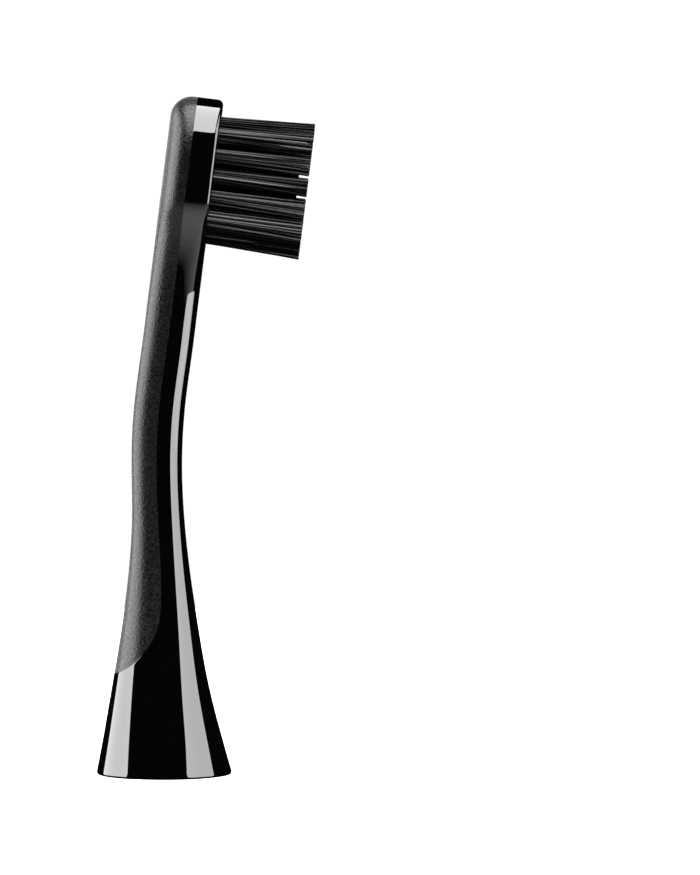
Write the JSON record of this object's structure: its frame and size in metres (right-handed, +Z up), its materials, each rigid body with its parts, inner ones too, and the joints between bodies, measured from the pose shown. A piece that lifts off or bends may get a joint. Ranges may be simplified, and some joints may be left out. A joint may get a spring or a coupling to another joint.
{
  "type": "sonic toothbrush replacement head",
  "caption": "Push-on head for a sonic toothbrush: a flared skirt rises into a leaning neck that carries staggered bristle tufts, with a soft grip over the back.",
  "frame": {"origin": "centre of the skirt's rim, where the head sits on its handle", "axes": "+Z up along the drive shaft's axis, +X the way the bristles point, +Y across the head"},
  "size_m": [0.0264, 0.0164, 0.082],
  "materials": {
    "shell": "high gloss",
    "grip": "fine matte grain",
    "bristle": "nylon filament",
    "core": "moulded, satin",
    "clip": "rolled strip",
    "anchor": "bright wire"
  },
  "bodies": {
    "head": {"housing": "shell", "back_grip": "grip", "drive_sleeve": "core", "retainer_ring": "core", "clip_band": "clip", "tuft_anchors": "anchor", "tuft_row_01_1": "bristle", "tuft_row_01_2": "bristle", "tuft_row_02_1": "bristle", "tuft_row_02_2": "bristle", "tuft_row_02_3": "bristle", "tuft_row_03_1": "bristle", "tuft_row_03_2": "bristle", "tuft_row_04_1": "bristle", "tuft_row_04_2": "bristle", "tuft_row_04_3": "bristle", "tuft_row_05_1": "bristle", "tuft_row_05_2": "bristle", "tuft_row_06_1": "bristle", "tuft_row_06_2": "bristle", "tuft_row_06_3": "bristle", "tuft_row_07_1": "bristle", "tuft_row_07_2": "bristle", "tuft_row_08_1": "bristle", "tuft_row_08_2": "bristle", "tuft_row_08_3": "bristle", "tuft_row_09_1": "bristle", "tuft_row_09_2": "bristle", "tuft_row_10_1": "bristle", "tuft_row_10_2": "bristle", "tuft_row_10_3": "bristle", "tuft_row_11_1": "bristle", "tuft_row_11_2": "bristle", "tuft_row_12_1": "bristle"},
    "arm_left": {"clip_arm_left": "clip"},
    "arm_right": {"clip_arm_right": "clip"}
  },
  "joints": [
    {"name": "arm_left_spring", "type": "hinge", "parent": "head", "child": "arm_left", "pos_m": [0, 0.00247, 0.0122], "axis": [-1, 0, 0], "range_deg": [0, 2.5], "stiffness_Nm_per_rad": 0.43},
    {"name": "arm_right_spring", "type": "hinge", "parent": "head", "child": "arm_right", "pos_m": [0, -0.00247, 0.0122], "axis": [1, 0, 0], "range_deg": [0, 2.5], "stiffness_Nm_per_rad": 0.43}
  ]
}
